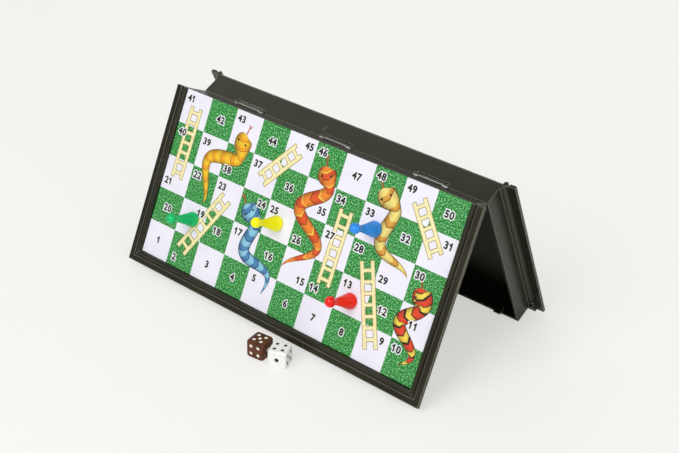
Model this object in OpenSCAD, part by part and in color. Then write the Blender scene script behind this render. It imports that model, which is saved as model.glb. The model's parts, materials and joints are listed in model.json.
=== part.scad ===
// Folding magnetic snakes and ladders set, standing open like a tent with its pawns and dice.
// Millimetres, +Z up, the table at Z = 0 and the hinge along X above the origin.

/* [Playing face] */
// Edge of one playing square
square_w = 23; // [20:0.5:26]
// Squares across the board
columns = 10; // [9:1:12]
// Rows of squares on each half
rows = 5; // [5:1:6]
// Thickness of the steel sheet under the print
steel_t = 0.4; // [0.3:0.05:0.8]
// Thickness of the printed sheet
print_t = 0.3; // [0.2:0.05:0.6]
// Gap round both sheets in their bed
sheet_gap = 0.4; // [0.1:0.05:0.6]
// Bare strip between the sheets and the hinge edge
hinge_strip = 0.4; // [0.2:0.1:2]

/* [Tray] */
// Depth of one half from the hinge line to the playing face
half_h = 17; // [14:0.5:24]
// Thickness of the walls
wall_t = 1.6; // [1.2:0.1:2.4]
// Thickness of the deck under the sheets
deck_t = 1.8; // [1.2:0.1:2.6]
// Border outside the sheet at each end
end_border = 9.2; // [8.5:0.1:14]
// Border outside the sheet at the front
front_border = 8.9; // [8:0.1:12]
// Outer face of the front wall, ahead of the sheet
front_wall_out = 4.6; // [3:0.1:6]
// Gap between the rims when closed and between the hinge walls when flat
fold_gap = 0.4; // [0.2:0.1:0.8]
// Radius in the upright corners of the hollow
hollow_r = 2.5; // [1:0.5:5]
// Radius of the two outer corners of the flange
corner_r = 0.6; // [0.4:0.1:4]

/* [Border] */
// Width of the round bead beside the sheet
bead_w = 3.2; // [2.4:0.1:4.4]
// Upright side of the bead between the groove and its round top
bead_side = 0.2; // [0.1:0.1:0.8]
// Width of the groove outside the bead
groove_w = 1; // [0.6:0.1:1.4]
// Depth of the groove below the band
groove_d = 1.1; // [0.6:0.1:1.3]
// Rise of the flat band above the playing face
band_rise = 1.4; // [0.6:0.1:1.8]
// Thickness of the flange at its outer edge
edge_t = 2.2; // [1.4:0.1:2.8]
// Drop from the playing face to where the flange leaves the wall
root_drop = 4.6; // [4.2:0.1:7]
// Width of the ledge where the flange leaves the wall
ledge_w = 1; // [0.5:0.1:1.4]
// Radius of the cove under the flange
cove_r = 2.6; // [1.5:0.1:3]
// Bevel along both edges of the band
edge_bevel = 0.4; // [0.1:0.1:0.6]

/* [Hinge] */
// Length of one hinge window along the board
hinge_l = 23.6; // [16:0.2:30]
// Height of the windows in the rear half's hinge wall
window_h = 3.2; // [2.6:0.1:4.5]
// Distance from the middle hinge to each outer one
hinge_pitch = 74.6; // [50:0.2:90]
// Outside diameter of the clip knuckles
knuckle_d = 3.4; // [3.2:0.1:4]
// Length of each end knuckle inside its window
end_knuckle_l = 2.4; // [1.6:0.1:4]
// Length by which an end knuckle is rooted in the wall
knuckle_root = 1; // [0.5:0.1:2]
// Diameter of the steel pins
pin_d = 1.8; // [1.6:0.1:2]
// Radial clearance of a pin in its knuckles
pin_gap = 0.05; // [0.02:0.01:0.1]
// Clearance between the knuckles and round them in the other half
knuckle_gap = 0.3; // [0.2:0.05:0.5]
// Width of the slot that a pin snaps in through
clip_slot_w = 1.4; // [1:0.1:1.5]

/* [Closing tongue] */
// Middle of the tongue, in from the end wall
tongue_in = 15; // [8:0.5:40]
// Width of the tongue
tongue_w = 5; // [4:0.5:14]
// Thickness of the tongue
tongue_t = 1.4; // [1:0.1:2]
// Reach of the tongue past the hinge line's plane
tongue_out = 2.2; // [1.5:0.1:4]
// Height of the tongue's root on the wall
tongue_root_h = 5; // [3:0.5:9]
// Gap between the tongue and the other half's wall
tongue_gap = 0.3; // [0.2:0.05:0.5]
// Lead-in bevel on the tongue's tip
tongue_lead = 0.6; // [0.2:0.1:0.9]

/* [Stand] */
// Slope of each half above the table, in degrees
tilt = 65; // [50:1:75]

/* [Pawns] */
// Height of a pawn
pawn_h = 24.4; // [20:0.2:30]
// Diameter of a pawn's foot
foot_d = 10.5; // [9.5:0.1:14]
// Radius round the edge of the foot
foot_r = 1.2; // [0.6:0.1:2]
// Diameter of the neck
neck_d = 4.2; // [3:0.1:5]
// Height where the flank runs into the neck
neck_z = 15.6; // [12:0.2:17]
// Diameter of the head
head_d = 6.8; // [6:0.1:9]
// Diameter of the magnet in the foot
magnet_d = 7; // [5:0.1:7.6]
// Thickness of the magnet
magnet_t = 2.4; // [1.5:0.1:4]
// Radial gap round the magnet
magnet_gap = 0.1; // [0.05:0.05:0.2]

/* [Dice] */
// Edge of a die
die_w = 12; // [10:0.5:16]
// Radius along the edges of a die
die_edge_r = 1; // [0.5:0.1:1.6]
// Diameter of the ball that rounds the corners
die_ball_d = 18.4; // [15:0.1:26]
// Diameter of a pip
pip_d = 2.3; // [1.6:0.1:2.6]
// Diameter of the single pip of a one
one_pip_d = 2.8; // [1.8:0.1:4]
// Depth of a pip
pip_depth = 0.45; // [0.3:0.05:0.8]
// Paint thickness in a pip
paint_t = 0.3; // [0.1:0.05:0.3]
// Radial gap round the paint in a pip
paint_gap = 0.05; // [0.02:0.01:0.1]
// Middle of the brown die, ahead of the flange
brown_die_ahead = 17.7; // [12:0.1:40]
// Middle of the brown die, right of the board's middle
brown_die_x = 15.9; // [10:0.1:20]
// Middle of the white die, ahead of the flange
white_die_ahead = 16.1; // [12:0.1:40]
// Middle of the white die, right of the board's middle
white_die_x = 31.1; // [30:0.1:60]
// Turn of the brown die on the table, in degrees
brown_die_turn = 7; // [0:1:12]
// Turn of the white die on the table, in degrees
white_die_turn = 21; // [15:1:30]

/* [Hidden] */

$fn = 64;
overrun = 5;

// Pawn places across and up the front sheet, in squares from its lower left corner
pawn_square_shares = [[1.54, 1.52], [4.45, 2.45], [7.53, 3.41], [7.48, 1.38]];
// Steps along a pawn's flank, and how hollow the flank is
flank_steps = 12;
flank_share = 1.2;
// Distance of a pip from the middle of its face, in die edges
pip_share = 0.22;
// Values on the top, bottom, front, back, right and left faces
brown_die_faces = [5, 2, 4, 3, 1, 6];
white_die_faces = [4, 3, 1, 6, 5, 2];
// Turns that bring the top face's pips to each face in that order
face_turns = [[0, 0, 0], [180, 0, 0], [90, 0, 0], [-90, 0, 0], [0, 90, 0], [0, -90, 0]];

// Sheet and wall planes of one half: Y runs to minus from the hinge axis, Z up from the rim
half_gap = fold_gap / 2;
sheet_w = columns * square_w;
hinge_edge = half_gap + hinge_strip;
sheet_front = hinge_edge + rows * square_w;
wall_x = sheet_w / 2 + sheet_gap;
wall_front = sheet_front + front_wall_out;
edge_x = sheet_w / 2 + end_border;
edge_front = sheet_front + front_border;
bed_z = half_h - print_t - steel_t;
deck_z = bed_z - deck_t;

// Border profile, measured outward from the edge of the sheet
bead_out = sheet_gap + bead_w;
band_in = bead_out + groove_w;
band_z = half_h + band_rise;
groove_z = band_z - groove_d;
bead_z = groove_z + bead_side;
bead_top = bead_z + bead_w / 2;
root_z = half_h - root_drop;
under_z = band_z - edge_t;

// Height of the hinge that puts the lowest edge of both halves on the table
function drop(out, up) = out * sin(tilt) - up * cos(tilt);
hinge_z = max(drop(wall_front, half_gap), drop(edge_front, under_z));
// Furthest reach of the flange in front of the hinge
foot_y = edge_front * cos(tilt) + band_z * sin(tilt);

// Knuckles along one hinge: a long one on the front half between two short ones on the rear half
hinge_places = [-hinge_pitch, 0, hinge_pitch];
window_end = hinge_l / 2;
root_end = window_end + knuckle_root;
short_end = window_end - end_knuckle_l;
long_end = short_end - knuckle_gap;
front_spans = [[-long_end, long_end]];
rear_spans = [[-root_end, -short_end], [short_end, root_end]];
// Way the pin slots open, in degrees up from straight out of the hinge wall
front_slot_turn = 45;
rear_slot_turn = -45;

// Places one half on the table: the front half, or the rear one turned round
module on_front() translate([0, 0, hinge_z]) rotate([tilt, 0, 0]) children();
module on_rear() translate([0, 0, hinge_z]) rotate([tilt, 0, 180]) children();

// Section of the border: band, groove and bead over a cove, with the top of the wall that carries it
module border_section(border, wall_out) {
  ledge_x = wall_out + ledge_w;
  cove_x = ledge_x + cove_r;
  cove_z = under_z - cove_r;
  difference() {
    polygon([
      [-wall_t, deck_z],
      [wall_out - wall_t, deck_z],
      [wall_out - wall_t, root_z],
      [ledge_x, root_z],
      [ledge_x, cove_z],
      [cove_x, cove_z],
      [cove_x, under_z],
      [border, under_z],
      [border, band_z - edge_bevel],
      [border - edge_bevel, band_z],
      [band_in + edge_bevel, band_z],
      [band_in, band_z - edge_bevel],
      [band_in, groove_z],
      [bead_out, groove_z],
      [bead_out, bead_z],
      [sheet_gap, bead_z],
      [sheet_gap, bed_z],
      [-wall_t, bed_z]
    ]);
    translate([cove_x, cove_z]) circle(r = cove_r);
  }
  translate([sheet_gap + bead_w / 2, bead_z]) circle(d = bead_w);
}

// Upright prism over an outline, tall enough to cut the whole border
module border_cut() linear_extrude(bead_top + overrun) children();

// Border along the right end, mitred at the front corner
module end_rail() {
  inner = sheet_w / 2 - wall_t;
  outer = edge_x + overrun;
  intersection() {
    translate([sheet_w / 2, -half_gap, 0])
      rotate([90, 0, 0])
        linear_extrude(edge_front - half_gap) border_section(end_border, sheet_gap);
    border_cut() polygon([
      [inner, overrun],
      [inner, wall_t - sheet_front],
      [outer, -sheet_front - end_border - overrun],
      [outer, overrun]
    ]);
  }
}

// Border along the front, mitred at both corners
module front_rail() {
  inner = sheet_w / 2 - wall_t;
  outer = edge_x + overrun;
  intersection() {
    translate([edge_x, -sheet_front, 0])
      rotate([90, 0, -90])
        linear_extrude(2 * edge_x) border_section(front_border, front_wall_out);
    border_cut() polygon([
      [-inner, wall_t - sheet_front],
      [-outer, -sheet_front - end_border - overrun],
      [outer, -sheet_front - end_border - overrun],
      [inner, wall_t - sheet_front]
    ]);
  }
}

// Outline of the flange with its two front corners rounded
module flange_outline() {
  translate([-edge_x, corner_r - edge_front]) square([2 * edge_x, edge_front - corner_r]);
  translate([corner_r - edge_x, -edge_front]) square([2 * (edge_x - corner_r), edge_front]);
  for (side = [-1, 1])
    translate([side * (edge_x - corner_r), corner_r - edge_front]) circle(r = corner_r);
}

// Outline of the hollow with rounded corners
module hollow_outline() {
  x = wall_x - wall_t;
  back = half_gap + wall_t;
  front = wall_front - wall_t;
  translate([hollow_r - x, -front]) square([2 * (x - hollow_r), front - back]);
  translate([-x, hollow_r - front]) square([2 * x, front - back - 2 * hollow_r]);
  for (side = [-1, 1], y = [-back - hollow_r, hollow_r - front])
    translate([side * (x - hollow_r), y]) circle(r = hollow_r);
}

// Box of one half: four walls under a deck
module shell() {
  difference() {
    translate([-wall_x, -wall_front, half_gap])
      cube([2 * wall_x, wall_front - half_gap, bed_z - half_gap]);
    translate([0, 0, half_gap - overrun])
      linear_extrude(deck_z - half_gap + overrun) hollow_outline();
  }
}

// Round bar along the hinge axis
module axis_bar(from, to, d) translate([from, 0, 0]) rotate([0, 90, 0]) cylinder(d = d, h = to - from);

// Clip knuckles of one half
module knuckles(spans) {
  for (x = hinge_places, span = spans) axis_bar(x + span[0], x + span[1], knuckle_d);
}

// Notches in the front half's hinge wall that clear the rear half's knuckles
module knuckle_notches() {
  for (x = hinge_places, span = rear_spans)
    axis_bar(x + span[0] - knuckle_gap, x + span[1] + knuckle_gap, knuckle_d + 2 * knuckle_gap);
}

// Windows in the rear half's hinge wall that the front half's knuckles turn in
module hinge_windows() {
  for (x = hinge_places)
    translate([x - window_end, -half_gap - wall_t - overrun, half_gap - overrun])
      cube([hinge_l, wall_t + 2 * overrun, window_h - half_gap + overrun]);
}

// Pin bore of every knuckle of one half, and the slot that a pin snaps in through
module clip_bores(spans, slot_turn) {
  for (x = hinge_places, span = spans) {
    axis_bar(x + span[0], x + span[1], pin_d + 2 * pin_gap);
    translate([x + span[0], 0, 0])
      rotate([slot_turn, 0, 0])
        translate([0, 0, -clip_slot_w / 2])
          cube([span[1] - span[0], knuckle_d / 2 + knuckle_gap, clip_slot_w]);
  }
}

// Closing tongue inside the front wall, near the left end
module tongue() {
  face = wall_t - wall_front;
  near = face + tongue_gap;
  far = near + tongue_t;
  translate([tongue_in - tongue_w / 2 - wall_x, 0, 0])
    rotate([90, 0, 90])
      linear_extrude(tongue_w) polygon([
        [face - wall_t / 2, half_gap],
        [near, half_gap],
        [near, tongue_lead - tongue_out],
        [near + tongue_lead, -tongue_out],
        [far, -tongue_out],
        [far, half_gap + tongue_root_h - tongue_t],
        [face, half_gap + tongue_root_h],
        [face - wall_t / 2, half_gap + tongue_root_h]
      ]);
}

// Moulding of one half up to its hinge, with the hinge axis along X through the origin
module tray() {
  shell();
  tongue();
  intersection() {
    union() {
      front_rail();
      end_rail();
      mirror([1, 0, 0]) end_rail();
    }
    border_cut() flange_outline();
  }
}

// Front moulding: one long knuckle at every hinge
module front_moulding() {
  difference() {
    union() {
      difference() {
        tray();
        knuckle_notches();
      }
      knuckles(front_spans);
    }
    clip_bores(front_spans, front_slot_turn);
  }
}

// Rear moulding: a window at every hinge with a short knuckle at both ends
module rear_moulding() {
  difference() {
    union() {
      difference() {
        tray();
        hinge_windows();
      }
      knuckles(rear_spans);
    }
    clip_bores(rear_spans, rear_slot_turn);
  }
}

// Flat sheet in the bed of one half
module sheet(z, t) {
  translate([-sheet_w / 2, -sheet_front, z]) cube([sheet_w, sheet_front - hinge_edge, t]);
}

module hinge_pin(place) {
  x = hinge_places[place];
  translate([0, 0, hinge_z])
    axis_bar(x - root_end + knuckle_gap, x + root_end - knuckle_gap, pin_d);
}

// Pawn turned from one section: rounded foot, hollow flank, neck and ball head
module pawn_section() {
  flank_z = neck_z - foot_r;
  intersection() {
    union() {
      translate([foot_d / 2 - foot_r, foot_r]) circle(r = foot_r);
      square([foot_d / 2 - foot_r, foot_r]);
      polygon(concat(
        [[0, foot_r]],
        [for (i = [0 : flank_steps])
          let (s = i / flank_steps)
          [neck_d / 2 + (foot_d - neck_d) / 2 * pow(1 - s, flank_share), foot_r + flank_z * s]],
        [[neck_d / 2, pawn_h - head_d / 2], [0, pawn_h - head_d / 2]]
      ));
      translate([0, pawn_h - head_d / 2]) circle(d = head_d);
    }
    square([foot_d, pawn_h]);
  }
}

module pawn() {
  difference() {
    rotate_extrude() pawn_section();
    translate([0, 0, -overrun]) cylinder(d = magnet_d + 2 * magnet_gap, h = magnet_t + overrun);
  }
}

module magnet() cylinder(d = magnet_d, h = magnet_t);

// Stands a pawn or its magnet on the front playing face
module on_square(index) {
  place = pawn_square_shares[index] * square_w;
  on_front() translate([place[0] - sheet_w / 2, place[1] - sheet_front, half_h]) children();
}

// Square of a die's side with its corners rounded
module die_outline() {
  inner = die_w - 2 * die_edge_r;
  square([inner, die_w], center = true);
  square([die_w, inner], center = true);
  for (x = [-1, 1], y = [-1, 1]) translate([x * inner / 2, y * inner / 2]) circle(r = die_edge_r);
}

module die_prism() linear_extrude(die_w, center = true) die_outline();

// Places of the pips of one value, in steps from the middle of the face
function pip_steps(value) =
  value == 1 ? [[0, 0]] :
  value == 2 ? [[-1, -1], [1, 1]] :
  value == 4 ? [[-1, -1], [1, 1], [-1, 1], [1, -1]] :
  value == 6 ? concat(pip_steps(4), [[-1, 0], [1, 0]]) :
  concat(pip_steps(1), pip_steps(value - 1));

// Round pips of all six faces, from a depth under each face and with a given thickness
module pips(faces, depth, t, gap) {
  for (face = [0 : len(faces) - 1])
    rotate(face_turns[face])
      for (step = pip_steps(faces[face]))
        translate([step[0] * pip_share * die_w, step[1] * pip_share * die_w, die_w / 2 - depth])
          cylinder(d = (faces[face] == 1 ? one_pip_d : pip_d) - 2 * gap, h = t);
}

module die(faces) {
  difference() {
    intersection() {
      die_prism();
      rotate([90, 0, 0]) die_prism();
      rotate([0, 90, 0]) die_prism();
      sphere(d = die_ball_d);
    }
    pips(faces, pip_depth, pip_depth + overrun, 0);
  }
}

module die_paint(faces) pips(faces, pip_depth, paint_t, paint_gap);

// Stands a die on the table in front of the board
module on_table(x, ahead, turn) {
  translate([x, -foot_y - ahead, die_w / 2]) rotate([0, 0, turn]) children();
}

module on_brown() on_table(brown_die_x, brown_die_ahead, brown_die_turn) children();
module on_white() on_table(white_die_x, white_die_ahead, white_die_turn) children();

module front_tray() color("#2f2e2a") on_front() front_moulding();
module front_steel_sheet() color("#9a9c9e") on_front() sheet(bed_z, steel_t);
module front_playing_sheet() color("#eeebf8") on_front() sheet(bed_z + steel_t, print_t);
module rear_tray() color("#2f2e2a") on_rear() rear_moulding();
module rear_steel_sheet() color("#9a9c9e") on_rear() sheet(bed_z, steel_t);
module rear_playing_sheet() color("#eeebf8") on_rear() sheet(bed_z + steel_t, print_t);
module left_hinge_pin() color("#b9bbbd") hinge_pin(0);
module middle_hinge_pin() color("#b9bbbd") hinge_pin(1);
module right_hinge_pin() color("#b9bbbd") hinge_pin(2);
module green_pawn() color("#1f9a5a") on_square(0) pawn();
module green_pawn_magnet() color("#3a3a3c") on_square(0) magnet();
module yellow_pawn() color("#f5e616") on_square(1) pawn();
module yellow_pawn_magnet() color("#3a3a3c") on_square(1) magnet();
module blue_pawn() color("#1f6fd0") on_square(2) pawn();
module blue_pawn_magnet() color("#3a3a3c") on_square(2) magnet();
module red_pawn() color("#e3231f") on_square(3) pawn();
module red_pawn_magnet() color("#3a3a3c") on_square(3) magnet();
module brown_die() color("#5f3526") on_brown() die(brown_die_faces);
module brown_die_pips() color("#f6f0e6") on_brown() die_paint(brown_die_faces);
module white_die() color("#f4f4f2") on_white() die(white_die_faces);
module white_die_pips() color("#141414") on_white() die_paint(white_die_faces);

front_tray();
front_steel_sheet();
front_playing_sheet();
rear_tray();
rear_steel_sheet();
rear_playing_sheet();
left_hinge_pin();
middle_hinge_pin();
right_hinge_pin();
green_pawn();
green_pawn_magnet();
yellow_pawn();
yellow_pawn_magnet();
blue_pawn();
blue_pawn_magnet();
red_pawn();
red_pawn_magnet();
brown_die();
brown_die_pips();
white_die();
white_die_pips();
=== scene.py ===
import json
import math

import bmesh
import bpy
from mathutils import Matrix, Vector


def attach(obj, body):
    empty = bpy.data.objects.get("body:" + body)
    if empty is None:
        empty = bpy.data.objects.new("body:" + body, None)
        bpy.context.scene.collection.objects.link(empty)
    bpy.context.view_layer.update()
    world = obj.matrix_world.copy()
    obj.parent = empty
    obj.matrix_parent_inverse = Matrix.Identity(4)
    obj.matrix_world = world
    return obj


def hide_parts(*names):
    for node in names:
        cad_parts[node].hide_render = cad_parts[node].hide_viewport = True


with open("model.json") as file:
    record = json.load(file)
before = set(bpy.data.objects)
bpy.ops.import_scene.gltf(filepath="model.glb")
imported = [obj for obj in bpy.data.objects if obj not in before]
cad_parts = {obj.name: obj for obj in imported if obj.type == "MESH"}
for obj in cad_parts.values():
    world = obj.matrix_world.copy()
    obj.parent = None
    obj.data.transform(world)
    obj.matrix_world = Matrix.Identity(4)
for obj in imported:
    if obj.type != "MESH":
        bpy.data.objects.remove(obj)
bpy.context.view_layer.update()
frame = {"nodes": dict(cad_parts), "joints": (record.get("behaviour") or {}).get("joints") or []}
nodes = frame["nodes"]
mm = 0.001
print("stage: frame loaded with", len(nodes), "CAD nodes")

# sizes shared with the CAD part, so that the print lies on its sheets
board = {
    "square": 23 * mm,
    "columns": 10,
    "rows": 5,
    "tilt": 65,              # slope of each half, degrees
    "faceHeight": 17 * mm,   # playing face above the hinge axis
    "hingeStrip": 0.6 * mm,  # sheet edge to hinge axis
}
square = board["square"]
sheetWidth = board["columns"] * square
sheetDepth = board["rows"] * square
tilt = math.radians(board["tilt"])
hingeHeight = frame["joints"][0]["pos_m"][2]  # the first joint is the board's hinge


# place of one half: the hinge axis along X, the playing face upwards
def halfPlace(turn):
    return Matrix.Translation((0, 0, hingeHeight)) @ Matrix.Rotation(turn, 4, "X")


# place of a printed face: x to the right, y up the numbered rows, z out of the print, from its first corner
def facePlace(turn, firstEdge):
    return halfPlace(turn) @ Matrix.Translation((-sheetWidth / 2, firstEdge, board["faceHeight"]))


frontPlace = facePlace(tilt, -board["hingeStrip"] - sheetDepth)
rearPlace = facePlace(-tilt, board["hingeStrip"])


def linearColour(hexCode, alpha=1.0):
    channels = [int(hexCode[i:i + 2], 16) / 255 for i in (1, 3, 5)]
    return tuple(c / 12.92 if c <= 0.04045 else ((c + 0.055) / 1.055) ** 2.4 for c in channels) + (alpha,)


mixShare, mixFirst, mixSecond, mixOut = 0, 6, 7, 2  # sockets of a Mix node that mixes colours


def addNode(tree, kind, sockets=None, stops=None, **settings):
    node = tree.nodes.new(kind)
    if stops:
        node.color_ramp.interpolation = settings.pop("interpolation", "LINEAR")
        while len(node.color_ramp.elements) < len(stops):
            node.color_ramp.elements.new(1.0)
        for element, (position, hexCode) in zip(node.color_ramp.elements, stops):
            element.position = position
            element.color = linearColour(hexCode)
    for key, value in settings.items():
        setattr(node, key, value)
    for key, value in (sockets or {}).items():
        if isinstance(value, bpy.types.NodeSocket):
            tree.links.new(value, node.inputs[key])
        else:
            node.inputs[key].default_value = value
    return node


def newMaterial(name, **shaderSockets):
    material = bpy.data.materials.new(name)
    material.use_nodes = True
    tree = material.node_tree
    shader = tree.nodes["Principled BSDF"]
    for key, value in shaderSockets.items():
        shader.inputs[key.replace("_", " ")].default_value = value
    return material, tree, shader


def dress(nodeName, material):
    mesh = nodes[nodeName].data
    mesh.materials.clear()
    mesh.materials.append(material)


# black ABS, injection moulded with a fine spark texture: satin, soft highlights, and a light colour painted
# along the free edges as a painted highlight
blackAbs = {
    "dark": "#14130b", "light": "#232217", "glint": "#a09d8f", "sheen": "#fdfbe0",
    "ior": 1.53,
    "roughness": (0.25, 0.38),
    "grain": 0.9 * mm,  # real grit is 0.3 mm, drawn coarser to show
    "grainDeep": 0.05 * mm,
    "grainStrength": 0.12,
    "cloud": 24 * mm,
    "shades": (0.12, 0.42),
    "edge": 0.5 * mm,
    "edgeTurn": (0.995, 0.93),  # cosine of the turn of an edge, where the painted edge highlight starts and where it is full
    "edgeMost": 0.9,
    "cornerReach": 1.5 * mm,
    "cornerOpen": (0.5, 0.75),  # less open places are inner corners, which get no painted edge highlight
    "samples": 6,
}


def makeBlackAbs():
    look = blackAbs
    material, tree, shader = newMaterial("blackAbsMoulded", IOR=look["ior"],
                                         Specular_Tint=linearColour(look["sheen"]))
    coords = addNode(tree, "ShaderNodeTexCoord").outputs["Object"]
    cloud = addNode(tree, "ShaderNodeTexNoise", {"Vector": coords, "Scale": 1 / look["cloud"], "Detail": 3.0})
    grain = addNode(tree, "ShaderNodeTexNoise", {"Vector": coords, "Scale": 1 / look["grain"], "Detail": 2.0})
    blend = addNode(tree, "ShaderNodeMath", {0: cloud.outputs["Fac"], 1: grain.outputs["Fac"]},
                    operation="MULTIPLY")
    colour = addNode(tree, "ShaderNodeValToRGB", {"Fac": blend.outputs[0]},
                     stops=list(zip(look["shades"], (look["dark"], look["light"]))))
    smoothest, roughest = look["roughness"]
    gloss = addNode(tree, "ShaderNodeMapRange", {"Value": cloud.outputs["Fac"], "To Min": smoothest,
                                                 "To Max": roughest})
    rounded = addNode(tree, "ShaderNodeBevel", {"Radius": look["edge"]}, samples=look["samples"])
    bump = addNode(tree, "ShaderNodeBump", {"Height": grain.outputs["Fac"], "Distance": look["grainDeep"],
                                            "Strength": look["grainStrength"],
                                            "Normal": rounded.outputs["Normal"]})
    flat = addNode(tree, "ShaderNodeNewGeometry").outputs["Normal"]
    turn = addNode(tree, "ShaderNodeVectorMath", {0: rounded.outputs["Normal"], 1: flat},
                   operation="DOT_PRODUCT")
    glintStarts, glintFull = look["edgeTurn"]
    edge = addNode(tree, "ShaderNodeMapRange", {"Value": turn.outputs["Value"], "From Min": glintStarts,
                                                "From Max": glintFull, "To Max": look["edgeMost"]})
    around = addNode(tree, "ShaderNodeAmbientOcclusion", {"Distance": look["cornerReach"]},
                     samples=look["samples"])
    innerCorner, freeEdge = look["cornerOpen"]
    clear = addNode(tree, "ShaderNodeMapRange", {"Value": around.outputs["AO"], "From Min": innerCorner,
                                                 "From Max": freeEdge})
    # painted highlight: a light colour on the free convex edges stands in for light catching them
    glintShare = addNode(tree, "ShaderNodeMath", {0: edge.outputs["Result"], 1: clear.outputs["Result"]},
                   operation="MULTIPLY")
    whole = addNode(tree, "ShaderNodeMix", {mixShare: glintShare.outputs[0], mixFirst: colour.outputs["Color"],
                                            mixSecond: linearColour(look["glint"])}, data_type="RGBA")
    tree.links.new(whole.outputs[mixOut], shader.inputs["Base Color"])
    tree.links.new(gloss.outputs["Result"], shader.inputs["Roughness"])
    tree.links.new(bump.outputs["Normal"], shader.inputs["Normal"])
    return material


# printed and laminated polyester film: lilac white and mottled green squares under a satin laminate
film = {
    "white": "#f0eef8", "deepWhite": "#eae8f4", "cut": "#2c2b29",
    "greens": [(0.36, "#033b15"), (0.45, "#107528"), (0.54, "#36a347"), (0.64, "#a2daa2")],
    "ior": 1.5,
    "roughness": (0.34, 0.44),
    "speck": 1.0 * mm,
    "tintsPerSquare": 1.3,
    "skin": 0.03 * mm,  # the print is only in this top layer, and the cut edge below it is dark
    "under": 10 * mm,   # the pattern starts under the print, so that its third axis stays inside one check
}


def makeFilm(name, place, turn):
    material, tree, shader = newMaterial(name, IOR=film["ior"])
    corner = place @ Vector((0, 0, -film["under"]))
    coords = addNode(tree, "ShaderNodeTexCoord").outputs["Object"]
    mapping = addNode(tree, "ShaderNodeMapping", {"Vector": coords, "Location": corner,
                                                  "Rotation": (turn, 0, 0), "Scale": (square,) * 3},
                      vector_type="TEXTURE")
    squares = mapping.outputs["Vector"]
    check = addNode(tree, "ShaderNodeTexChecker", {"Vector": squares, "Scale": 1.0})
    specks = addNode(tree, "ShaderNodeTexNoise", {"Vector": squares, "Scale": square / film["speck"],
                                                  "Detail": 3.0, "Roughness": 0.65})
    green = addNode(tree, "ShaderNodeValToRGB", {"Fac": specks.outputs["Fac"]}, stops=film["greens"])
    tint = addNode(tree, "ShaderNodeTexNoise", {"Vector": squares, "Scale": film["tintsPerSquare"],
                                                "Detail": 2.0})
    white = addNode(tree, "ShaderNodeValToRGB", {"Fac": tint.outputs["Fac"]},
                    stops=[(0.3, film["deepWhite"]), (0.7, film["white"])])
    colour = addNode(tree, "ShaderNodeMix", {mixShare: check.outputs["Fac"], mixFirst: white.outputs["Color"],
                                             mixSecond: green.outputs["Color"]}, data_type="RGBA")
    depth = addNode(tree, "ShaderNodeSeparateXYZ", {0: squares}).outputs["Z"]
    face = addNode(tree, "ShaderNodeMath", {0: depth, 1: (film["under"] - film["skin"]) / square},
                   operation="GREATER_THAN")
    whole = addNode(tree, "ShaderNodeMix", {mixShare: face.outputs[0], mixFirst: linearColour(film["cut"]),
                                            mixSecond: colour.outputs[mixOut]}, data_type="RGBA")
    smoothest, roughest = film["roughness"]
    gloss = addNode(tree, "ShaderNodeMapRange", {"Value": tint.outputs["Fac"], "To Min": smoothest,
                                                 "To Max": roughest})
    tree.links.new(whole.outputs[mixOut], shader.inputs["Base Color"])
    tree.links.new(gloss.outputs["Result"], shader.inputs["Roughness"])
    return material


# printing ink on the film and enamel in the pips: flat, with a faint unevenness
ink = {"ior": 1.5, "roughness": 0.42, "cloud": 1.5 * mm}


def makeInk(name, hexCode, hexDeep):
    material, tree, shader = newMaterial(name, IOR=ink["ior"], Roughness=ink["roughness"])
    coords = addNode(tree, "ShaderNodeTexCoord").outputs["Object"]
    cloud = addNode(tree, "ShaderNodeTexNoise", {"Vector": coords, "Scale": 1 / ink["cloud"], "Detail": 2.0})
    colour = addNode(tree, "ShaderNodeValToRGB", {"Fac": cloud.outputs["Fac"]},
                     stops=[(0.35, hexDeep), (0.65, hexCode)])
    tree.links.new(colour.outputs["Color"], shader.inputs["Base Color"])
    return material


# glossy polystyrene, injection moulded: clean colour, small bright highlights
polystyrene = {"ior": 1.59, "cloud": 6 * mm, "smoother": 0.05, "rougher": 0.06}


def makePolystyrene(name, hexCode, hexDeep, rough, shine):
    material, tree, shader = newMaterial(name, IOR=polystyrene["ior"], Specular_IOR_Level=shine)
    coords = addNode(tree, "ShaderNodeTexCoord").outputs["Object"]
    cloud = addNode(tree, "ShaderNodeTexNoise", {"Vector": coords, "Scale": 1 / polystyrene["cloud"],
                                                 "Detail": 2.0})
    colour = addNode(tree, "ShaderNodeValToRGB", {"Fac": cloud.outputs["Fac"]},
                     stops=[(0.3, hexDeep), (0.6, hexCode)])
    gloss = addNode(tree, "ShaderNodeMapRange", {"Value": cloud.outputs["Fac"],
                                                 "To Min": rough - polystyrene["smoother"],
                                                 "To Max": rough + polystyrene["rougher"]})
    tree.links.new(colour.outputs["Color"], shader.inputs["Base Color"])
    tree.links.new(gloss.outputs["Result"], shader.inputs["Roughness"])
    return material


# drawn steel wire and rolled sheet: grey metal with fine lines along the working direction
steel = {"line": 0.4 * mm, "stretch": 0.04, "span": 0.1}


def makeSteel(name, hexCode, hexDeep, rough):
    material, tree, shader = newMaterial(name, Metallic=1.0)
    coords = addNode(tree, "ShaderNodeTexCoord").outputs["Object"]
    along = addNode(tree, "ShaderNodeMapping", {"Vector": coords, "Scale": (steel["stretch"], 1, 1)})
    lines = addNode(tree, "ShaderNodeTexNoise", {"Vector": along.outputs["Vector"],
                                                 "Scale": 1 / steel["line"], "Detail": 3.0})
    colour = addNode(tree, "ShaderNodeValToRGB", {"Fac": lines.outputs["Fac"]},
                     stops=[(0.3, hexDeep), (0.7, hexCode)])
    gloss = addNode(tree, "ShaderNodeMapRange", {"Value": lines.outputs["Fac"],
                                                 "To Min": rough - steel["span"],
                                                 "To Max": rough + steel["span"]})
    tree.links.new(colour.outputs["Color"], shader.inputs["Base Color"])
    tree.links.new(gloss.outputs["Result"], shader.inputs["Roughness"])
    return material


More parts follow.
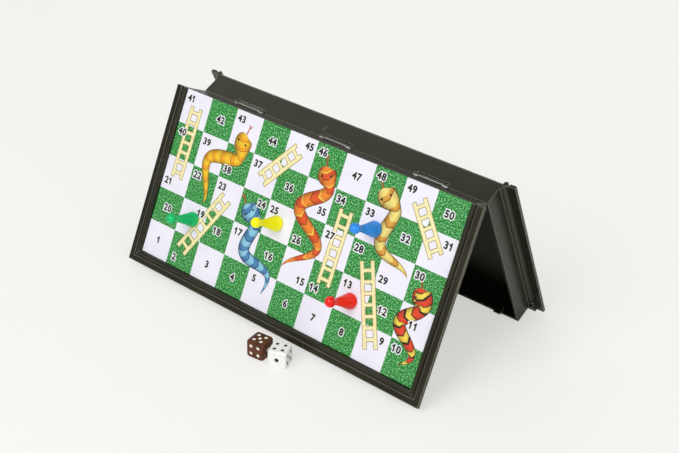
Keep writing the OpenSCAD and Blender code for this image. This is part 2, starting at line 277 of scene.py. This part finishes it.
# pressed ferrite: dull charcoal with a gritty face
ferrite = {"dark": "#242426", "light": "#4a4a4c", "ior": 2.0, "roughness": 0.7,
           "grit": 0.5 * mm, "gritDeep": 0.1 * mm, "gritStrength": 0.4}


def makeFerrite():
    material, tree, shader = newMaterial("pressedFerrite", IOR=ferrite["ior"], Roughness=ferrite["roughness"])
    coords = addNode(tree, "ShaderNodeTexCoord").outputs["Object"]
    grit = addNode(tree, "ShaderNodeTexNoise", {"Vector": coords, "Scale": 1 / ferrite["grit"],
                                                "Detail": 3.0})
    colour = addNode(tree, "ShaderNodeValToRGB", {"Fac": grit.outputs["Fac"]},
                     stops=[(0.35, ferrite["dark"]), (0.7, ferrite["light"])])
    bump = addNode(tree, "ShaderNodeBump", {"Height": grit.outputs["Fac"], "Distance": ferrite["gritDeep"],
                                            "Strength": ferrite["gritStrength"]})
    tree.links.new(colour.outputs["Color"], shader.inputs["Base Color"])
    tree.links.new(bump.outputs["Normal"], shader.inputs["Normal"])
    return material


# dice in the CAD's own form: two shades, roughness and shine of the plastic, then the paint in the pips
dice = {
    "brown": {"plastic": ("#5e2e0f", "#47240b", 0.18, 0.25),
              "pips": ("whitePipEnamel", "#f8f3e8", "#efe8da")},
    "white": {"plastic": ("#f3f3f0", "#ecece8", 0.24, 0.5),
              "pips": ("blackPipEnamel", "#17171a", "#0c0c0e")},
}

trayPlastic = makeBlackAbs()
sheetSteel = makeSteel("coldRolledSteel", "#a4a6a8", "#83858a", 0.35)
pinSteel = makeSteel("drawnSteelWire", "#f4f5f6", "#e2e3e4", 0.6)
magnetFerrite = makeFerrite()
for half in ("front", "rear"):
    dress(half + "_tray", trayPlastic)
    dress(half + "_steel_sheet", sheetSteel)
dress("front_playing_sheet", makeFilm("frontPrintedFilm", frontPlace, tilt))
dress("rear_playing_sheet", makeFilm("rearPrintedFilm", rearPlace, -tilt))
for side in ("left", "middle", "right"):
    dress(side + "_hinge_pin", pinSteel)
for colour, look in dice.items():
    dress(colour + "_die", makePolystyrene(colour + "Polystyrene", *look["plastic"]))
    dress(colour + "_die_pips", makeInk(*look["pips"]))
print("stage: CAD nodes dressed")


def newPiece(name, bm, materials, body, smoothAngle=None):
    mesh = bpy.data.meshes.new(name)
    bm.to_mesh(mesh)
    bm.free()
    for material in materials:
        mesh.materials.append(material)
    if smoothAngle is not None:
        mesh.shade_smooth()
        mesh.set_sharp_from_angle(angle=math.radians(smoothAngle))
    piece = bpy.data.objects.new(name, mesh)
    bpy.context.scene.collection.objects.link(piece)
    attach(piece, body)
    return piece


def paintNew(verts, index):
    for face in {face for vert in verts for face in vert.link_faces}:
        face.material_index = index


# pawns: turned form with a round foot, hollow flank, neck and ball head, open under the foot for the magnet
pawn = {
    "height": 24.4 * mm,
    "foot": 10.5 * mm, "footRound": 1.2 * mm, "footTurn": 80, "footSteps": 8,
    "hollow": 1.2, "flankSteps": 24,
    "neck": 4.2 * mm, "neckHeight": 15.6 * mm, "neckSteps": 10,
    "head": 6.8 * mm, "headSteps": 24,
    "headMeet": -38,  # degrees from the ball's middle to where the neck joins
    "magnet": 7.2 * mm, "magnetDeep": 2.4 * mm,
    "spin": 48, "smooth": 40, "rough": 0.2, "shine": 0.3,
}
pawnSet = {  # square places across and up the front half, and the two shades of each plastic
    "green": ((1.54, 1.52), "#04c46f", "#00b066"),
    "yellow": ((4.45, 2.45), "#fffc00", "#fff600"),
    "blue": ((7.53, 3.41), "#2a90f0", "#2482da"),
    "red": ((7.48, 1.38), "#f81a08", "#ea1506"),
}


def pawnProfile():
    footRadius, neckRadius, headRadius = pawn["foot"] / 2, pawn["neck"] / 2, pawn["head"] / 2
    magnetRadius, footRound = pawn["magnet"] / 2, pawn["footRound"]
    points = [(0, pawn["magnetDeep"]), (magnetRadius, pawn["magnetDeep"]), (magnetRadius, 0)]
    for i in range(pawn["footSteps"] + 1):  # round of the foot
        turn = math.radians(-90 + pawn["footTurn"] * i / pawn["footSteps"])
        points.append((footRadius - footRound * (1 - math.cos(turn)), footRound * (1 + math.sin(turn))))
    rise = pawn["neckHeight"] - footRound
    for i in range(1, pawn["flankSteps"] + 1):  # flank
        share = i / pawn["flankSteps"]
        spread = (footRadius - neckRadius) * (1 - share) ** pawn["hollow"]
        points.append((neckRadius + spread, footRound + rise * share))
    start = math.radians(pawn["headMeet"])
    headMiddle = pawn["height"] - headRadius
    low = Vector(points[-1])
    high = Vector((headRadius * math.cos(start), headMiddle + headRadius * math.sin(start)))
    knee = Vector((neckRadius, high.y + (high.x - neckRadius) / math.tan(start)))
    for i in range(1, pawn["neckSteps"]):  # soft hollow from the neck into the head
        share = i / pawn["neckSteps"]
        points.append(tuple(low.lerp(knee, share).lerp(knee.lerp(high, share), share)))
    for i in range(pawn["headSteps"] + 1):  # ball head
        turn = start + (math.pi / 2 - start) * i / pawn["headSteps"]
        points.append((headRadius * math.cos(turn), headMiddle + headRadius * math.sin(turn)))
    points[-1] = (0, pawn["height"])
    return points


def buildPawn(colour):
    (across, up), hexCode, hexDeep = pawnSet[colour]
    bm = bmesh.new()
    verts = [bm.verts.new((radius, 0, height)) for radius, height in pawnProfile()]
    edges = [bm.edges.new(pair) for pair in zip(verts, verts[1:])]
    bmesh.ops.spin(bm, geom=verts + edges, axis=(0, 0, 1), cent=(0, 0, 0), angle=2 * math.pi,
                   steps=pawn["spin"], use_merge=True)
    bmesh.ops.remove_doubles(bm, verts=bm.verts, dist=0.01 * mm)
    bmesh.ops.recalc_face_normals(bm, faces=bm.faces)
    spot = frontPlace @ Matrix.Translation((across * square, up * square, 0))
    bmesh.ops.transform(bm, matrix=spot, verts=bm.verts)
    material = makePolystyrene(colour + "Polystyrene", hexCode, hexDeep, pawn["rough"], pawn["shine"])
    piece = newPiece(colour + "_pawn_turned", bm, [material], colour + "_pawn",
                     pawn["smooth"])
    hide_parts(colour + "_pawn")
    dress(colour + "_pawn_magnet", magnetFerrite)


for colour in pawnSet:
    buildPawn(colour)
print("stage: pawns turned")

# moulding gate mark: a low smooth welt left on the rear hinge wall, beside the middle hinge
gateMark = {"across": -14.4 * mm, "out": 0.2 * mm, "up": 6.8 * mm, "turn": 16,
            "long": 4.4 * mm, "wide": 1.0 * mm, "high": 0.14 * mm,
            "around": 24, "rings": 16, "smooth": 80}


def buildGateMark():
    bm = bmesh.new()
    spot = (halfPlace(-tilt) @ Matrix.Translation((gateMark["across"], gateMark["out"], gateMark["up"]))
            @ Matrix.Rotation(math.radians(gateMark["turn"]), 4, "Y")
            @ Matrix.Diagonal((gateMark["wide"] / 2, gateMark["high"], gateMark["long"] / 2, 1)))
    bmesh.ops.create_uvsphere(bm, u_segments=gateMark["around"], v_segments=gateMark["rings"], radius=1,
                              matrix=spot)
    newPiece("rear_gate_mark", bm, [trayPlastic], "rear_half", gateMark["smooth"])


buildGateMark()
print("stage: gate mark set on the rear wall")

# ink films: thickness of the loose ones, then the height of each film's top above the sheet
layers = {"ink": 0.02 * mm, "ladderEdge": 0.02 * mm, "ladder": 0.04 * mm, "snake": 0.06 * mm,
          "outline": 0.08 * mm, "eye": 0.09 * mm, "number": 0.1 * mm}


# a straight bar of ink from one point of the face to another, points and width in squares
def filmBar(bm, place, start, end, width, height, material):
    a, b = Vector(start) * square, Vector(end) * square
    line = b - a
    middle = (a + b) / 2
    matrix = (place @ Matrix.Translation((middle.x, middle.y, height / 2))
              @ Matrix.Rotation(math.atan2(line.y, line.x), 4, "Z")
              @ Matrix.Diagonal((line.length, width * square, height, 1)))
    paintNew(bmesh.ops.create_cube(bm, size=1, matrix=matrix)["verts"], material)


# ladders, in squares: cream rails and rungs with a tan edge, each run from its foot to its top
ladder = {"width": 0.44, "rail": 0.1, "rung": 0.085, "pitch": 0.3, "bareEnds": 0.2, "edge": 0.018,
          "rungLow": 0.98}  # rungs lie a little lower than rails, so that no two films share a plane
ladderRuns = {
    "front": [((1.42, 0.55), (2.5, 2.5)), ((0.5, 2.45), (0.52, 4.55)), ((3.5, 3.4), (4.45, 4.55)),
              ((6.5, 1.45), (6.52, 3.55)), ((8.5, 0.45), (7.6, 2.55)), ((9.5, 3.4), (8.55, 4.55))],
    "rear": [((6.5, 0.45), (7.5, 2.5)), ((2.5, 0.45), (2.5, 2.55)), ((0.5, 1.45), (1.5, 3.5)),
             ((5.5, 1.45), (5.5, 3.55)), ((9.5, 2.45), (9.5, 4.55))],
}
ladderInk = makeInk("creamLadderInk", "#f5ecbc", "#ecdf9f")
ladderEdgeInk = makeInk("tanLadderInk", "#a58e4c", "#8d763a")


def buildLadders(half, place):
    bm = bmesh.new()
    for foot, top in ladderRuns[half]:
        foot, top = Vector(foot), Vector(top)
        line = (top - foot).normalized()
        side = Vector((-line.y, line.x)) * (ladder["width"] - ladder["rail"]) / 2
        length = (top - foot).length
        count = int((length - ladder["bareEnds"]) / ladder["pitch"]) + 1
        first = (length - (count - 1) * ladder["pitch"]) / 2
        for grow, height, paint in ((ladder["edge"], layers["ladderEdge"], 1), (0, layers["ladder"], 0)):
            for sign in (-1, 1):
                filmBar(bm, place, foot + side * sign - line * grow, top + side * sign + line * grow,
                        ladder["rail"] + 2 * grow, height, paint)
            for i in range(count):
                rung = foot + line * (first + i * ladder["pitch"])
                filmBar(bm, place, rung - side, rung + side, ladder["rung"] + 2 * grow,
                        height * ladder["rungLow"], paint)
    newPiece(half + "_ladders", bm, [ladderInk, ladderEdgeInk], half + "_half")


# snakes, in squares: a waving body with an oval head, two eyes and a forked tongue
snake = {
    "half": 0.21,       # half width of the full body
    "headLong": 0.78, "headHalf": 0.31,
    "cheeks": 0.42,     # share of the head's length where it is widest
    "neck": 0.82,       # half width behind the head, as a share of the full body's
    "swell": 0.35,      # share of the body over which it grows to full width
    "taper": 2.2, "tailTip": 0.004,
    "straight": 3.5,    # the wave grows over this part of the length, so that the head lies straight
    "along": 110, "across": 6, "probe": 0.004, "measures": 60,
    "eye": 0.034, "eyeBack": 0.26, "eyeOut": 0.15, "eyeSides": 16, "neckShare": 0.05,
}
tongue = {"root": 0.03, "reach": 0.21, "width": 0.034,
          "split": 0.2, "forkLong": 0.09, "forkOut": 0.05, "forkWidth": 0.03}
snakeRuns = {  # head, tail, waves, swing, colouring
    "front": [((2.55, 4.4), (1.35, 2.3), 1.25, 0.42, 0), ((3.24, 2.6), (4.6, 0.42), 1.5, 0.34, 1),
              ((5.5, 4.45), (5.5, 1.4), 1.75, 0.48, 2), ((7.4, 4.5), (8.6, 2.4), 1.25, 0.34, 3),
              ((9.4, 2.5), (9.42, 0.4), 1.5, 0.32, 4)],
    "rear": [((3.5, 4.4), (3.6, 2.3), 1.5, 0.4, 2), ((6.5, 4.4), (6.5, 2.5), 1.5, 0.36, 1),
             ((8.5, 3.5), (8.5, 1.3), 1.5, 0.38, 4), ((4.6, 1.55), (3.4, 0.45), 1.0, 0.28, 0)],
}
snakeColourings = [  # name, colours along one band, bands along the body, edge line
    ("yellowSnakeInk", [(0.0, "#f6c62a"), (0.55, "#f0a81e"), (0.92, "#b8741a")], 11, "#7a4a12"),
    ("blueSnakeInk", [(0.0, "#8cc9e2"), (0.5, "#4c86b8"), (0.9, "#2b4d85")], 10, "#1f3560"),
    ("orangeSnakeInk", [(0.0, "#f08a2c"), (0.45, "#f4cf4a"), (0.55, "#e0561f"), (0.94, "#9c3413")],
     9, "#74280f"),
    ("sandSnakeInk", [(0.0, "#f2dd7c"), (0.6, "#e0a43a"), (0.9, "#a86a1e")], 7, "#6d4413"),
    ("redSnakeInk", [(0.0, "#e0431f"), (0.42, "#221a14"), (0.5, "#f4d64c"), (0.84, "#221a14")],
     7, "#4a160c"),
]
snakeShade = {"across": [(0.0, "#a8a8a8"), (0.35, "#f2f2f2"), (0.62, "#ffffff"), (1.0, "#c4c4c4")],
              "bow": 0.5, "edgeLine": 0.44}  # bow of the bands round the body, and where the edge line starts


# snake inks: bands and belly rings along the body, shaded round, with a dark line at both edges
def makeSnakeInk(name, bands, count, edgeHex):
    material, tree, shader = newMaterial(name, IOR=ink["ior"], Roughness=ink["roughness"])
    uv = addNode(tree, "ShaderNodeUVMap", uv_map="along")
    parts = addNode(tree, "ShaderNodeSeparateXYZ", {0: uv.outputs["UV"]})
    rings = addNode(tree, "ShaderNodeMath", {0: parts.outputs["X"], 1: float(count)}, operation="MULTIPLY")
    middle = addNode(tree, "ShaderNodeMath", {0: parts.outputs["Y"], 1: 0.5}, operation="SUBTRACT")
    across = addNode(tree, "ShaderNodeMath", {0: middle.outputs[0]}, operation="ABSOLUTE")
    bowed = addNode(tree, "ShaderNodeMath", {0: across.outputs[0], 1: snakeShade["bow"], 2: rings.outputs[0]},
                    operation="MULTIPLY_ADD")
    band = addNode(tree, "ShaderNodeMath", {0: bowed.outputs[0]}, operation="FRACT")
    body = addNode(tree, "ShaderNodeValToRGB", {"Fac": band.outputs[0]}, stops=bands,
                   interpolation="CONSTANT")
    shade = addNode(tree, "ShaderNodeValToRGB", {"Fac": parts.outputs["Y"]}, stops=snakeShade["across"])
    drawn = addNode(tree, "ShaderNodeMix", {mixShare: 1.0, mixFirst: body.outputs["Color"],
                                            mixSecond: shade.outputs["Color"]},
                    data_type="RGBA", blend_type="MULTIPLY")
    edge = addNode(tree, "ShaderNodeMath", {0: across.outputs[0], 1: snakeShade["edgeLine"]},
                   operation="GREATER_THAN")
    colour = addNode(tree, "ShaderNodeMix", {mixShare: edge.outputs[0], mixFirst: drawn.outputs[mixOut],
                                             mixSecond: linearColour(edgeHex)}, data_type="RGBA")
    tree.links.new(colour.outputs[mixOut], shader.inputs["Base Color"])
    return material


numberInk = makeInk("blackNumberInk", "#1c1b18", "#100f0d")
outlineInk = makeInk("whiteOutlineInk", "#f7f6fa", "#eeedf3")
tongueInk = makeInk("redTongueInk", "#c9231f", "#a81a18")
snakeInks = [makeSnakeInk(*colouring) for colouring in snakeColourings]
eyeIndex, tongueIndex = len(snakeInks), len(snakeInks) + 1  # material places after the body inks


def snakePoint(run, share):
    head, tail, waves, swing, _ = run
    head, tail = Vector(head), Vector(tail)
    line = tail - head
    side = Vector((-line.y, line.x)).normalized()
    calm = min(1.0, share * snake["straight"])
    return head + line * share + side * swing * calm * math.sin(2 * math.pi * waves * share)


def runLength(run):
    count = snake["measures"]
    points = [snakePoint(run, i / count) for i in range(count + 1)]
    return sum((b - a).length for a, b in zip(points, points[1:]))


def snakeHalf(share, length):
    distance = share * length
    neckHalf = snake["half"] * snake["neck"]
    if distance < snake["headLong"]:
        s = distance / snake["headLong"]
        nose = math.sqrt(max(0.0, 1 - (1 - min(s / snake["cheeks"], 1)) ** 2))
        back = 0.5 - 0.5 * math.cos(math.pi * max(0.0, (s - snake["cheeks"]) / (1 - snake["cheeks"])))
        return nose * (snake["headHalf"] + (neckHalf - snake["headHalf"]) * back)
    s = (distance - snake["headLong"]) / (length - snake["headLong"])
    grown = math.sin(math.pi * min(s / snake["swell"], 1) / 2)
    width = neckHalf + (snake["half"] - neckHalf) * grown
    return width * (1 - s ** snake["taper"]) + snake["tailTip"]


def addSnakeBody(bm, run, place):
    length = runLength(run)
    low = layers["snake"] - layers["ink"]
    verts = bmesh.ops.create_grid(bm, x_segments=snake["along"], y_segments=snake["across"], size=0.5,
                                  calc_uvs=True)["verts"]
    for vert in verts:
        share, out = vert.co.x + 0.5, vert.co.y * 2
        ahead = snakePoint(run, min(share + snake["probe"], 1))
        behind = snakePoint(run, max(share - snake["probe"], 0))
        along = (ahead - behind).normalized()
        point = snakePoint(run, share) + Vector((-along.y, along.x)) * out * snakeHalf(share, length)
        vert.co = place @ Vector((point.x * square, point.y * square, low))
    paintNew(verts, run[4])
    under = list({face for vert in verts for face in vert.link_faces})
    raised = bmesh.ops.extrude_face_region(bm, geom=under, use_keep_orig=True)["geom"]
    bmesh.ops.translate(bm, verts=[part for part in raised if isinstance(part, bmesh.types.BMVert)],
                        vec=place.to_3x3() @ Vector((0, 0, layers["ink"])))


def addSnakeFace(bm, run, place):
    head = snakePoint(run, 0)
    along = (snakePoint(run, snake["neckShare"]) - head).normalized()
    side = Vector((-along.y, along.x))
    split = head - along * tongue["split"]
    radius = snake["eye"] * square
    for sign in (-1, 1):
        eye = (head + along * snake["eyeBack"] + side * sign * snake["eyeOut"]) * square
        spot = place @ Matrix.Translation((eye.x, eye.y, layers["eye"] - layers["ink"] / 2))
        disc = bmesh.ops.create_cone(bm, cap_ends=True, segments=snake["eyeSides"], radius1=radius,
                                     radius2=radius, depth=layers["ink"], matrix=spot)["verts"]
        paintNew(disc, eyeIndex)
        tip = split - along * tongue["forkLong"] + side * sign * tongue["forkOut"]
        filmBar(bm, place, split, tip, tongue["forkWidth"], layers["ladder"], tongueIndex)
    filmBar(bm, place, head + along * tongue["root"], head - along * tongue["reach"], tongue["width"],
            layers["ladder"], tongueIndex)


def buildSnakes(half, place):
    bm = bmesh.new()
    bm.loops.layers.uv.new("along")
    for run in snakeRuns[half]:
        addSnakeBody(bm, run, place)
        addSnakeFace(bm, run, place)
    bmesh.ops.dissolve_degenerate(bm, dist=0.001 * mm, edges=bm.edges)  # the noses end in one point
    bmesh.ops.recalc_face_normals(bm, faces=bm.faces)
    newPiece(half + "_snakes", bm, snakeInks + [numberInk, tongueInk], half + "_half")


# numbers, in squares: black figures with a white outline, moved off the ladders, snakes and pawns that cover
# the middle of a square
number = {
    "size": 0.275, "bold": 0.011, "outline": 0.037, "pitch": 0.15,
    "figureSteps": 3, "outlineSteps": 2,
    "outlineDrop": 0.006 * mm,  # each next figure's outline lies lower, so that no two share a plane
    "flag": 0.024, "flagTip": (0.004, 0.077), "flagEnd": (-0.055, 0.044),
    "clear": 0.3, "spots": [(0.5, 0.5), (0.24, 0.76), (0.76, 0.76), (0.24, 0.26), (0.76, 0.26)],
    "ladderProbes": 20, "snakeProbes": 40, "pawnProbes": 2, "pawnReach": 0.3,
}


# points on a face that the numbers keep clear of
def artPoints(half):
    points = []
    for foot, top in ladderRuns[half]:
        count = number["ladderProbes"]
        points += [Vector(foot).lerp(Vector(top), i / count) for i in range(count + 1)]
    for run in snakeRuns[half]:
        count = number["snakeProbes"]
        points += [snakePoint(run, i / count) for i in range(count + 1)]
    if half == "front":
        for (across, up), _, _ in pawnSet.values():
            count = number["pawnProbes"]
            points += [Vector((across - number["pawnReach"] * i / count, up)) for i in range(count + 1)]
    return points


def clearSpot(column, row, points):
    best = None
    for spot in number["spots"]:
        middle = Vector((column + spot[0], row + spot[1]))
        room = min((middle - point).length for point in points)
        if room > number["clear"]:
            return middle
        if best is None or room > best[0]:
            best = (room, middle)
    return best[1]


def figureMesh(figure, offset, steps):
    curve = bpy.data.curves.new("figure", "FONT")
    curve.body = figure
    curve.size = number["size"] * square
    curve.align_x, curve.align_y = "CENTER", "CENTER"
    curve.offset = offset * square
    curve.extrude = layers["ink"] / 2
    curve.resolution_u = steps
    holder = bpy.data.objects.new("figure", curve)
    mesh = bpy.data.meshes.new_from_object(holder)
    bpy.data.objects.remove(holder)
    bpy.data.curves.remove(curve)
    return mesh


def addFigure(bm, place, figure, at, grow, height, steps):
    mesh = figureMesh(figure, grow, steps)
    spot = Matrix.Translation((at.x * square, at.y * square, height - layers["ink"] / 2))
    mesh.transform(place @ spot)
    bm.from_mesh(mesh)
    bpy.data.meshes.remove(mesh)
    if figure == "1":  # the flag of the 1
        tip, end = at + Vector(number["flagTip"]), at + Vector(number["flagEnd"])
        reach = (end - tip).normalized() * grow
        filmBar(bm, place, tip - reach, end + reach, number["flag"] + 2 * grow, height - layers["ink"] / 4, 0)


def buildNumbers(half, place, firstNumber):
    points = artPoints(half)
    figures, outlines = bmesh.new(), bmesh.new()
    firstRow = (firstNumber - 1) // board["columns"]
    for value in range(firstNumber, firstNumber + board["columns"] * board["rows"]):
        row, step = divmod(value - 1, board["columns"])
        column = step if row % 2 == 0 else board["columns"] - 1 - step
        middle = clearSpot(column, row - firstRow, points)
        text = str(value)
        for i, figure in enumerate(text):
            at = middle + Vector(((i - (len(text) - 1) / 2) * number["pitch"], 0))
            outlineTop = layers["outline"] - i * number["outlineDrop"]
            addFigure(figures, place, figure, at, number["bold"], layers["number"], number["figureSteps"])
            addFigure(outlines, place, figure, at, number["outline"], outlineTop, number["outlineSteps"])
    for bm in (figures, outlines):
        bmesh.ops.remove_doubles(bm, verts=bm.verts, dist=0.001 * mm)  # closes the seams of faces and sides
    newPiece(half + "_numbers", figures, [numberInk], half + "_half")
    newPiece(half + "_number_outlines", outlines, [outlineInk], half + "_half")


for half, place, firstNumber in (("front", frontPlace, 1), ("rear", rearPlace, 51)):
    buildLadders(half, place)
    buildSnakes(half, place)
    buildNumbers(half, place, firstNumber)
    print("stage:", half, "face printed")

# studio: pale paper floor, almost white and matt, under soft lamps and a grey sky
studio = {
    "paper": "#fbfaf7", "floorSize": 6, "roughness": 0.9, "specular": 0.1,
    "glow": 0.6, "mirrorGlow": 0.04,  # shares of the glow that the camera and mirrored rays see
    "glowLevel": 0.98,
    "sky": [(0.05, "#8a8a8a"), (0.75, "#b4b4b4")], "skyLevel": 0.72,
    "lampSize": 0.9, "lampAim": (0, 0, 0.05),
    "lamps": {  # watts and place in metres
        "keyLamp": (16.8, (0.0, -1.25, 1.15)),
        "topLamp": (1.2, (-0.9, 0.1, 1.0)),
        "rightLamp": (5.0, (1.3, -0.3, 0.55)),
        "edgeLamp": (3.0, (-0.75, 0.9, 0.95)),
        "backLamp": (4.0, (0.3, 1.3, 0.6)),
    },
}


def makePaper():
    paper = linearColour(studio["paper"])
    material, tree, shader = newMaterial("paleStudioPaper", Base_Color=paper, Roughness=studio["roughness"],
                                         Specular_IOR_Level=studio["specular"])
    glow = addNode(tree, "ShaderNodeEmission", {"Color": paper, "Strength": studio["glowLevel"]})
    rays = addNode(tree, "ShaderNodeLightPath").outputs
    mirrored = addNode(tree, "ShaderNodeMath", {0: rays["Is Glossy Ray"], 1: rays["Is Transmission Ray"]},
                       operation="MAXIMUM")
    faint = addNode(tree, "ShaderNodeMath", {0: mirrored.outputs[0], 1: studio["mirrorGlow"]},
                    operation="MULTIPLY")
    share = addNode(tree, "ShaderNodeMath", {0: rays["Is Camera Ray"], 1: studio["glow"],
                                             2: faint.outputs[0]}, operation="MULTIPLY_ADD")
    mixed = addNode(tree, "ShaderNodeMixShader", {0: share.outputs[0], 1: shader.outputs[0],
                                                  2: glow.outputs[0]})
    tree.links.new(mixed.outputs[0], tree.nodes["Material Output"].inputs["Surface"])
    return material


def buildFloor():
    bm = bmesh.new()
    bmesh.ops.create_grid(bm, x_segments=1, y_segments=1, size=studio["floorSize"])
    mesh = bpy.data.meshes.new("studio_floor")
    bm.to_mesh(mesh)
    bm.free()
    mesh.materials.append(makePaper())
    floor = bpy.data.objects.new("studio_floor", mesh)
    bpy.context.scene.collection.objects.link(floor)


def buildSky():
    world = bpy.data.worlds.new("studioLight")
    world.use_nodes = True
    tree = world.node_tree
    backdrop = tree.nodes["Background"]
    coords = addNode(tree, "ShaderNodeTexCoord").outputs["Generated"]
    height = addNode(tree, "ShaderNodeSeparateXYZ", {0: coords}).outputs["Z"]
    sky = addNode(tree, "ShaderNodeValToRGB", {"Fac": height}, stops=studio["sky"])
    tree.links.new(sky.outputs["Color"], backdrop.inputs["Color"])
    backdrop.inputs["Strength"].default_value = studio["skyLevel"]
    bpy.context.scene.world = world


def buildLamps():
    for name, (power, place) in studio["lamps"].items():
        lamp = bpy.data.lights.new(name, "AREA")
        lamp.energy = power
        lamp.size = studio["lampSize"]
        holder = bpy.data.objects.new(name, lamp)
        holder.location = place
        aim = Vector(studio["lampAim"]) - Vector(place)
        holder.rotation_euler = aim.to_track_quat("-Z", "Y").to_euler()
        bpy.context.scene.collection.objects.link(holder)


# camera solved from the photo's own squares: place in metres, right and forward directions, lens in mm
camera = {"place": (0.464118, -0.560787, 0.475119), "right": (0.764758, 0.643872, 0.02396),
          "ahead": (-0.546084, 0.66745, -0.506264), "lens": 68.672, "sensor": 36}


def buildCamera():
    data = bpy.data.cameras.new("photoCamera")
    data.sensor_width = camera["sensor"]
    data.lens = camera["lens"]
    holder = bpy.data.objects.new("photoCamera", data)
    right, back = Vector(camera["right"]).normalized(), -Vector(camera["ahead"]).normalized()
    up = back.cross(right).normalized()
    right = up.cross(back)
    axes = Matrix((right, up, back)).transposed()
    holder.matrix_world = Matrix.Translation(camera["place"]) @ axes.to_4x4()
    bpy.context.scene.collection.objects.link(holder)
    bpy.context.scene.camera = holder


buildFloor()
buildSky()
buildLamps()
buildCamera()
bpy.context.scene.view_settings.view_transform = "Standard"
print("stage: studio, lamps and camera set")
